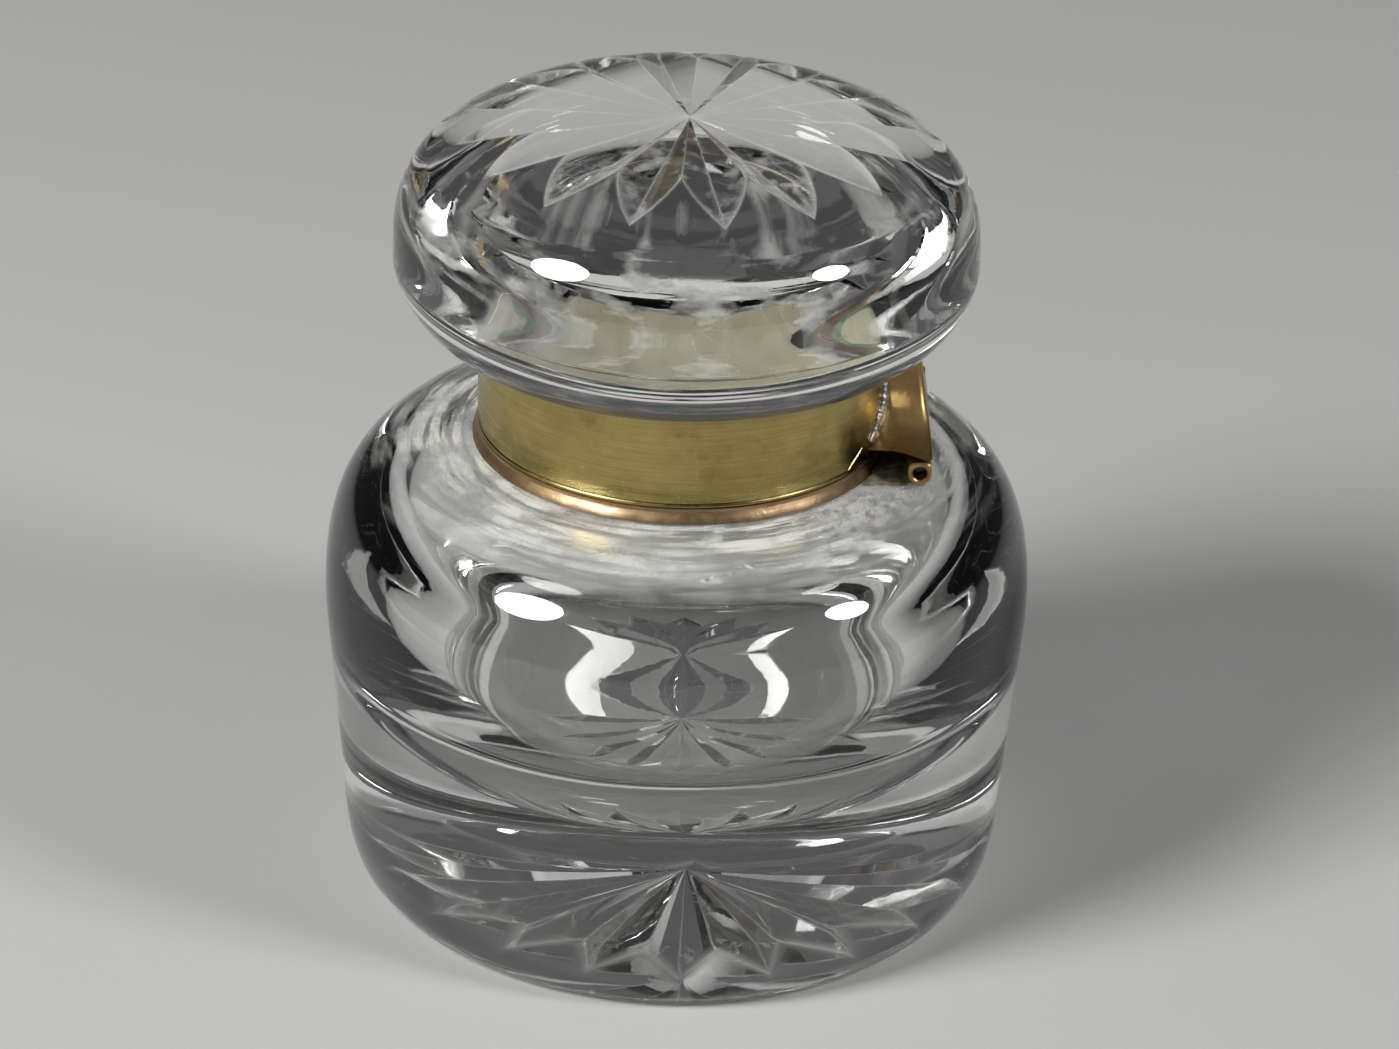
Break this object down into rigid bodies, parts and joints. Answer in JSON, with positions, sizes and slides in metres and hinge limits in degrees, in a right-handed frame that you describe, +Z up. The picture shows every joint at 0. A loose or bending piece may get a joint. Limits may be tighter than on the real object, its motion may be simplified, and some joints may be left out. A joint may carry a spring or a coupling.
{
  "type": "inkwell",
  "caption": "Round thick-glass desk inkwell with a star-cut base, a brass collar and a hinged mushroom-shaped glass lid that drops over the neck.",
  "frame": {"origin": "middle of the flat base, on the surface that the inkwell stands on", "axes": "+Z up along the well's axis, +X towards the hinge, -Y towards the user"},
  "size_m": [0.08, 0.08, 0.0911],
  "materials": {
    "glass": "polished",
    "plaster": "matt",
    "brass": "aged, finely brushed",
    "coppery_brass": "aged, reddened",
    "worn_brass": "aged, browned",
    "solder": "dull grey",
    "pin_steel": "tarnished"
  },
  "bodies": {
    "well": {"glass_body": "glass", "neck_cement": "plaster", "lower_collar": "coppery_brass", "hinge_leaf": "coppery_brass", "leaf_solder": "solder", "hinge_pin": "pin_steel", "lower_knuckle_front": "worn_brass", "lower_knuckle_rear": "worn_brass"},
    "lid": {"glass_lid": "glass", "lid_cement": "plaster", "lid_flange": "brass", "upper_collar": "brass", "hinge_tail": "worn_brass", "tail_solder_front": "solder", "tail_solder_rear": "solder", "upper_knuckle_front": "worn_brass", "upper_knuckle_middle": "worn_brass", "upper_knuckle_rear": "worn_brass"}
  },
  "joints": [
    {"name": "lid_hinge", "type": "hinge", "parent": "well", "child": "lid", "pos_m": [0.0263, 0, 0.055], "axis": [0, 1, 0], "range_deg": [0, 100]}
  ]
}
